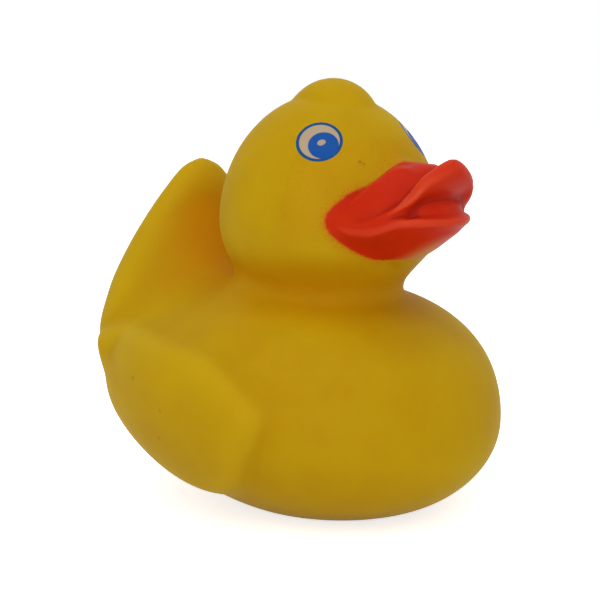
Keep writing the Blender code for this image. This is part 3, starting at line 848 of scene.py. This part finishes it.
def rotocastVinyl():
    # Soft PVC, cast by turning a heated mould: matte and barely translucent, with faint clouds and orange peel.
    # The bill is sprayed through a mask, which leaves a soft edge and a dusting of drops.
    # The eyes are pad printed, flat and crisp. Painted shade and painted highlights are mixed into the colour as
    # well.
    look = vinylFinish
    material, tree, shader = newMaterial("rotocastVinyl")

    def tint(colour, attribute, low, high, most, tone):
        # mix in a tone as the attribute goes from low to high
        value = addNode(tree, "ShaderNodeAttribute", {"attribute_name": attribute}).outputs["Fac"]
        amount = addNode(tree, "ShaderNodeMapRange", {"interpolation_type": "SMOOTHSTEP"}, {
            "Value": value, "From Min": low, "From Max": high, "To Max": most}).outputs["Result"]
        return addNode(tree, "ShaderNodeMix", {"data_type": "RGBA"}, {
            0: amount, 6: colour, 7: hexToLinear(look[tone])}).outputs[2]

    here = addNode(tree, "ShaderNodeTexCoord").outputs["Object"]
    inMm = addNode(tree, "ShaderNodeVectorMath", {"operation": "SCALE"}, {0: here, "Scale": 1 / mm}).outputs[0]

    # pigment clouds
    clouds = addNode(tree, "ShaderNodeTexNoise", {}, {
        "Vector": inMm, "Scale": 1 / look["cloudSize"], "Detail": 3.0}).outputs["Fac"]
    cloudy = addNode(tree, "ShaderNodeMapRange", {}, {
        "Value": clouds, "From Min": 0.3, "From Max": 0.7}).outputs["Result"]
    colour = addNode(tree, "ShaderNodeMix", {"data_type": "RGBA"}, {
        0: cloudy, 6: hexToLinear(look["deepYellow"]), 7: hexToLinear(look["yellow"])}).outputs[2]

    # painted shade: the hollows turn orange as they miss more of the sky, standing in for the light bounced into
    # them; painted highlight: the ridges turn a paler yellow
    for row in look["vinylLightAndShade"]:
        colour = tint(colour, *row)

    # the marks of handling
    for forward, side, height, radius, strength in handlingSpecks:
        offset = addNode(tree, "ShaderNodeVectorMath", {"operation": "DISTANCE"}, {
            0: inMm, 1: toFrame(forward, side, height)}).outputs["Value"]
        spot = addNode(tree, "ShaderNodeMapRange", {"interpolation_type": "SMOOTHSTEP"}, {
            "Value": offset, "From Min": radius * 1.6, "From Max": radius * 0.4,
            "To Max": strength}).outputs["Result"]
        colour = addNode(tree, "ShaderNodeMix", {"data_type": "RGBA"}, {
            0: spot, 6: colour, 7: hexToLinear(look["speck"])}).outputs[2]

    # the sprayed edge, soft and a little ragged, with drops and a thin haze beside it
    edge = sprayEdge
    depth = addNode(tree, "ShaderNodeAttribute", {"attribute_name": "sprayDepth"}).outputs["Fac"]
    cover = addNode(tree, "ShaderNodeAttribute", {"attribute_name": "sprayCover"}).outputs["Fac"]
    ragged = addNode(tree, "ShaderNodeTexNoise", {}, {
        "Vector": inMm, "Scale": 1 / edge["raggedSize"], "Detail": 2.0}).outputs["Fac"]
    shift = addNode(tree, "ShaderNodeMath", {"operation": "MULTIPLY_ADD"}, {
        0: ragged, 1: edge["ragged"], 2: -0.5 * edge["ragged"]}).outputs[0]
    depth = addNode(tree, "ShaderNodeMath", {"operation": "ADD"}, {0: depth, 1: shift}).outputs[0]
    solid = addNode(tree, "ShaderNodeMapRange", {"interpolation_type": "SMOOTHSTEP"}, {
        "Value": depth, "From Min": edge["soft"][0], "From Max": edge["soft"][1]}).outputs["Result"]
    drops = addNode(tree, "ShaderNodeTexNoise", {}, {
        "Vector": inMm, "Scale": 1 / edge["dropSize"], "Detail": 1.0}).outputs["Fac"]
    farLevel, nearLevel = edge["dropLevels"]
    nearEdge = addNode(tree, "ShaderNodeMapRange", {}, {
        "Value": depth, "From Min": edge["dropsFrom"], "From Max": 0.0,
        "To Min": farLevel, "To Max": nearLevel}).outputs["Result"]
    overDrop = addNode(tree, "ShaderNodeMath", {"operation": "SUBTRACT"}, {0: drops, 1: nearEdge}).outputs[0]
    dusting = addNode(tree, "ShaderNodeMapRange", {}, {
        "Value": overDrop, "From Min": 0.0, "From Max": edge["dropSoft"],
        "To Max": edge["dropCover"]}).outputs["Result"]
    haze = addNode(tree, "ShaderNodeMapRange", {"interpolation_type": "SMOOTHSTEP"}, {
        "Value": depth, "From Min": edge["haze"][0], "From Max": edge["haze"][1],
        "To Max": edge["hazeCover"]}).outputs["Result"]
    stray = addNode(tree, "ShaderNodeMath", {"operation": "MAXIMUM"}, {0: dusting, 1: haze}).outputs[0]
    spray = addNode(tree, "ShaderNodeMath", {"operation": "MAXIMUM"}, {0: solid, 1: stray}).outputs[0]
    spray = addNode(tree, "ShaderNodeMath", {"operation": "MULTIPLY", "use_clamp": True}, {
        0: spray, 1: cover}).outputs[0]
    red = addNode(tree, "ShaderNodeMix", {"data_type": "RGBA"}, {
        0: cloudy, 6: hexToLinear(look["red"]), 7: hexToLinear(look["brightRed"])}).outputs[2]
    # painted highlight: paler red on the lips' crests; painted shade: darker red in the folds
    for row in look["lipLightAndShade"]:
        red = tint(red, *row)
    colour = addNode(tree, "ShaderNodeMix", {"data_type": "RGBA"}, {0: spray, 6: colour, 7: red}).outputs[2]
    # painted reflection: a pale pink sheen where the spray runs out below the lip
    paintedSheenPatch = addNode(tree, "ShaderNodeMath", {"operation": "PINGPONG"}, {0: cover, 1: 0.5}).outputs[0]
    for share in (look["paintedSheenPatch"], solid):
        paintedSheenPatch = addNode(tree, "ShaderNodeMath", {"operation": "MULTIPLY"}, {0: paintedSheenPatch, 1: share}).outputs[0]
    colour = addNode(tree, "ShaderNodeMix", {"data_type": "RGBA"}, {
        0: paintedSheenPatch, 6: colour, 7: hexToLinear(look["paintedSheenPink"])}).outputs[2]

    # the print's own plane, mirrored to the left side and turned there towards the bill
    split = addNode(tree, "ShaderNodeSeparateXYZ", {}, {0: inMm})
    across = addNode(tree, "ShaderNodeMath", {"operation": "ABSOLUTE"}, {0: split.outputs["X"]}).outputs[0]
    mirrored = addNode(tree, "ShaderNodeCombineXYZ", {}, {
        "X": across, "Y": split.outputs["Y"], "Z": split.outputs["Z"]}).outputs[0]
    farSide = addNode(tree, "ShaderNodeMath", {"operation": "GREATER_THAN"}, {
        0: split.outputs["X"], 1: 0.0}).outputs[0]
    slip = addNode(tree, "ShaderNodeMath", {"operation": "MULTIPLY"}, {
        0: farSide, 1: math.radians(eyePrint["farSlip"])}).outputs[0]
    mirrored = addNode(tree, "ShaderNodeVectorRotate", {"rotation_type": "Z_AXIS"}, {
        "Vector": mirrored, "Center": toFrame(headForm["forward"], 0.0, headForm["height"]),
        "Angle": slip}).outputs[0]
    middle = toFrame(*eyePrint["middle"])
    fromMiddle = addNode(tree, "ShaderNodeVectorMath", {"operation": "SUBTRACT"}, {
        0: mirrored, 1: (abs(middle.x), middle.y, middle.z)}).outputs[0]
    flat = []
    for axis in ("toFront", "up", "facing"):
        forward, side, height = eyePrint[axis]
        flat.append(addNode(tree, "ShaderNodeVectorMath", {"operation": "DOT_PRODUCT"}, {
            0: fromMiddle, 1: (side, -forward, height)}).outputs["Value"])
    onPrint = addNode(tree, "ShaderNodeCombineXYZ", {}, {"X": flat[0], "Y": flat[1]}).outputs[0]
    behind = addNode(tree, "ShaderNodeMath", {"operation": "ABSOLUTE"}, {0: flat[2]}).outputs[0]
    atFace = addNode(tree, "ShaderNodeMath", {"operation": "LESS_THAN"}, {
        0: behind, 1: eyePrint["depth"]}).outputs[0]
    printed = {}
    for name in ("ring", "white", "iris"):
        x, y, radius = eyePrint[name]
        away = addNode(tree, "ShaderNodeVectorMath", {"operation": "DISTANCE"}, {
            0: onPrint, 1: (x, y, 0)}).outputs["Value"]
        printed[name] = addNode(tree, "ShaderNodeMapRange", {"interpolation_type": "SMOOTHSTEP"}, {
            "Value": away, "From Min": radius + eyePrint["edge"], "From Max": radius - eyePrint["edge"],
            "To Max": atFace}).outputs["Result"]
    x, y, longHalf, shortHalf = eyePrint["glint"]
    tilt = math.radians(eyePrint["glintTilt"])
    offset = addNode(tree, "ShaderNodeVectorMath", {"operation": "SUBTRACT"}, {
        0: onPrint, 1: (x, y, 0)}).outputs[0]
    turned = addNode(tree, "ShaderNodeVectorRotate", {"rotation_type": "Z_AXIS"}, {
        "Vector": offset, "Angle": -tilt}).outputs[0]
    scaled = addNode(tree, "ShaderNodeVectorMath", {"operation": "MULTIPLY"}, {
        0: turned, 1: (1 / longHalf, 1 / shortHalf, 0)}).outputs[0]
    away = addNode(tree, "ShaderNodeVectorMath", {"operation": "LENGTH"}, {0: scaled}).outputs["Value"]
    printed["glint"] = addNode(tree, "ShaderNodeMapRange", {"interpolation_type": "SMOOTHSTEP"}, {
        "Value": away, "From Min": 1.1, "From Max": 0.9, "To Max": atFace}).outputs["Result"]
    for name, ink in (("ring", "inkRing"), ("white", "inkWhite"), ("iris", "inkBlue"), ("glint", "inkWhite")):
        colour = addNode(tree, "ShaderNodeMix", {"data_type": "RGBA"}, {
            0: printed[name], 6: colour, 7: hexToLinear(look[ink])}).outputs[2]

    # matte vinyl, smoother where the paint or the ink lies
    rough = addNode(tree, "ShaderNodeMix", {"data_type": "FLOAT"}, {
        0: spray, 2: look["vinylRoughness"], 3: look["paintRoughness"]}).outputs[0]
    rough = addNode(tree, "ShaderNodeMix", {"data_type": "FLOAT"}, {
        0: printed["ring"], 2: rough, 3: look["inkRoughness"]}).outputs[0]

    # orange peel, with the finer grain on it
    peel = addNode(tree, "ShaderNodeTexNoise", {}, {
        "Vector": inMm, "Scale": 1 / look["peelSize"], "Detail": 2.0}).outputs["Fac"]
    grain = addNode(tree, "ShaderNodeTexNoise", {}, {
        "Vector": inMm, "Scale": 1 / look["grainSize"], "Detail": 1.0}).outputs["Fac"]
    relief = addNode(tree, "ShaderNodeMath", {"operation": "MULTIPLY_ADD"}, {
        0: grain, 1: 0.35, 2: peel}).outputs[0]
    bump = addNode(tree, "ShaderNodeBump", {}, {
        "Strength": 0.25, "Distance": 0.06 * mm, "Height": relief}).outputs["Normal"]

    shader.inputs["IOR"].default_value = 1.53
    shader.inputs["Specular IOR Level"].default_value = 0.04
    shader.inputs["Coat Roughness"].default_value = 0.25
    shader.inputs["Coat IOR"].default_value = 1.45
    shader.inputs["Subsurface Weight"].default_value = 0.5
    shader.inputs["Subsurface Radius"].default_value = (4.0, 1.8, 0.3)
    shader.inputs["Subsurface Scale"].default_value = mm
    # a breath of lacquer over the paint
    gloss = addNode(tree, "ShaderNodeMath", {"operation": "MULTIPLY"}, {
        0: spray, 1: look["paintGloss"]}).outputs[0]
    for socket, value in (
            ("Base Color", colour), ("Roughness", rough), ("Normal", bump), ("Coat Weight", gloss),
            ("Coat Normal", bump)):
        tree.links.new(value, shader.inputs[socket])
    return material


def mouldedPlastic(name, pale, shade, roughness, finish, transmission=0.0):
    # Injection moulded polyolefin: waxy and even, with the fine marks of the mould's polish, finish mm across.
    material, tree, shader = newMaterial(name)
    here = addNode(tree, "ShaderNodeTexCoord").outputs["Object"]
    inMm = addNode(tree, "ShaderNodeVectorMath", {"operation": "SCALE"}, {0: here, "Scale": 1 / mm}).outputs[0]
    # the melt's flow, in clouds about 4 mm across
    flow = addNode(tree, "ShaderNodeTexNoise", {}, {
        "Vector": inMm, "Scale": 1 / 4, "Detail": 2.0}).outputs["Fac"]
    colour = addNode(tree, "ShaderNodeMix", {"data_type": "RGBA"}, {
        0: flow, 6: hexToLinear(shade), 7: hexToLinear(pale)}).outputs[2]
    rough = addNode(tree, "ShaderNodeMapRange", {}, {
        "Value": flow, "To Min": roughness - 0.06, "To Max": roughness + 0.06}).outputs["Result"]
    polish = addNode(tree, "ShaderNodeTexNoise", {}, {
        "Vector": inMm, "Scale": 1 / finish, "Detail": 2.0}).outputs["Fac"]
    bump = addNode(tree, "ShaderNodeBump", {}, {
        "Strength": 0.2, "Distance": 0.04 * mm, "Height": polish}).outputs["Normal"]
    shader.inputs["IOR"].default_value = 1.51
    shader.inputs["Transmission Weight"].default_value = transmission
    for socket, value in (("Base Color", colour), ("Roughness", rough), ("Normal", bump)):
        tree.links.new(value, shader.inputs[socket])
    return material


duckSkin.data.materials.clear()
duckSkin.data.materials.append(rotocastVinyl())
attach(duckSkin, "root")
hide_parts("duck_shell")

nodes["squeaker_body"].data.materials.clear()
nodes["squeaker_body"].data.materials.append(
    mouldedPlastic("mouldedPolyethylene", "#E8E6DE", "#DDDACF", 0.42, 0.5))
nodes["squeaker_reed"].data.materials.clear()
nodes["squeaker_reed"].data.materials.append(
    mouldedPlastic("mouldedPolypropylene", "#DCE0E2", "#CFD4D6", 0.28, 0.3, 0.35))

print("duck: studio")

studio = {
    "floor": "#F0F0ED",
    "floorSize": 4.0,
    "fibres": 1.1,  # drawn coarser than paper's own, so that they show
    "floorLift": 0.7,  # share of white that the camera sees in the floor, before the lamps' light is added
    "sky": 0.55,  # the light of the room, where white is 1
    "aim": (0, 0, 0.04),
    # name, place, size in metres, power in watts
    "lamps": [
        ("overhead", (-0.25, -0.25, 0.72), 0.8, 1.9),
        ("frontFill", (-0.72, -0.62, 0.22), 0.6, 2.4),
    ],
}


def seenDirectly(tree):
    # 1 where the camera looks, or gloss or glass looks for it, and 0 for the light that falls on things
    rays = addNode(tree, "ShaderNodeLightPath").outputs
    seen = rays["Is Camera Ray"]
    for ray in ("Is Glossy Ray", "Is Transmission Ray"):
        seen = addNode(tree, "ShaderNodeMath", {"operation": "MAXIMUM"}, {0: seen, 1: rays[ray]}).outputs[0]
    return seen


bm = bmesh.new()
bmesh.ops.create_grid(bm, x_segments=8, y_segments=8, size=0.5 * studio["floorSize"])
floor = linkMesh("floor", bm)
material, tree, shader = newMaterial("paperSweep")
# matte seamless paper, which the camera, gloss and glass see as nearly white, with the duck's shadow on it
here = addNode(tree, "ShaderNodeTexCoord").outputs["Object"]
fibres = addNode(tree, "ShaderNodeTexNoise", {}, {
    "Vector": here, "Scale": 1 / (studio["fibres"] * mm), "Detail": 2.0}).outputs["Fac"]
bump = addNode(tree, "ShaderNodeBump", {}, {
    "Strength": 0.05, "Distance": 0.1 * mm, "Height": fibres}).outputs["Normal"]
tree.links.new(bump, shader.inputs["Normal"])
shader.inputs["Base Color"].default_value = hexToLinear(studio["floor"])
shader.inputs["Roughness"].default_value = 0.9
lift = addNode(tree, "ShaderNodeMath", {"operation": "MULTIPLY"}, {
    0: seenDirectly(tree), 1: studio["floorLift"]}).outputs[0]
white = addNode(tree, "ShaderNodeEmission", {}, {"Strength": lift}).outputs[0]
both = addNode(tree, "ShaderNodeAddShader", {}, {0: shader.outputs[0], 1: white}).outputs[0]
tree.links.new(both, tree.nodes["Material Output"].inputs["Surface"])
floor.data.materials.append(material)

world = bpy.data.worlds.new("studioAir")
world.use_nodes = True
bpy.context.scene.world = world
tree = world.node_tree
air = tree.nodes["Background"]
level = addNode(tree, "ShaderNodeMapRange", {}, {
    "Value": seenDirectly(tree), "To Min": studio["sky"], "To Max": 1.0}).outputs["Result"]
tree.links.new(level, air.inputs["Strength"])
air.inputs["Color"].default_value = (1.0, 1.0, 1.0, 1.0)

for name, spot, size, watts in studio["lamps"]:
    light = bpy.data.lights.new(name, "AREA")
    light.shape = "DISK"
    light.size = size
    light.energy = watts
    lamp = bpy.data.objects.new(name, light)
    lamp.location = spot
    lamp.rotation_euler = (Vector(studio["aim"]) - Vector(spot)).to_track_quat("-Z", "Y").to_euler()
    bpy.context.scene.collection.objects.link(lamp)

portrait = {
    "turn": 43.72,  # degrees from the duck's front towards its right side
    "lift": 8.32,
    "distance": 323.08,
    "lookAt": (0.0, 0.0, 45.0),  # forward, side, height
    "pixelsPerMm": 4.62,
    "imageSize": 600,
    "middle": (309.0, 291.6),
}

lens = bpy.data.cameras.new("portrait")
camera = bpy.data.objects.new("portrait", lens)
bpy.context.scene.collection.objects.link(camera)
bpy.context.scene.camera = camera
turn, lift = math.radians(portrait["turn"]), math.radians(portrait["lift"])
back = Vector((-math.sin(turn) * math.cos(lift), -math.cos(turn) * math.cos(lift), math.sin(lift)))
camera.location = toFrame(*portrait["lookAt"]) * mm + back * portrait["distance"] * mm
camera.rotation_euler = back.to_track_quat("Z", "Y").to_euler()
lens.sensor_width = 36.0
lens.lens = portrait["pixelsPerMm"] * portrait["distance"] / portrait["imageSize"] * lens.sensor_width
lens.shift_x = 0.5 - portrait["middle"][0] / portrait["imageSize"]
lens.shift_y = portrait["middle"][1] / portrait["imageSize"] - 0.5
lens.clip_start = 0.01

bpy.context.scene.view_settings.view_transform = "Standard"

print("duck: done")
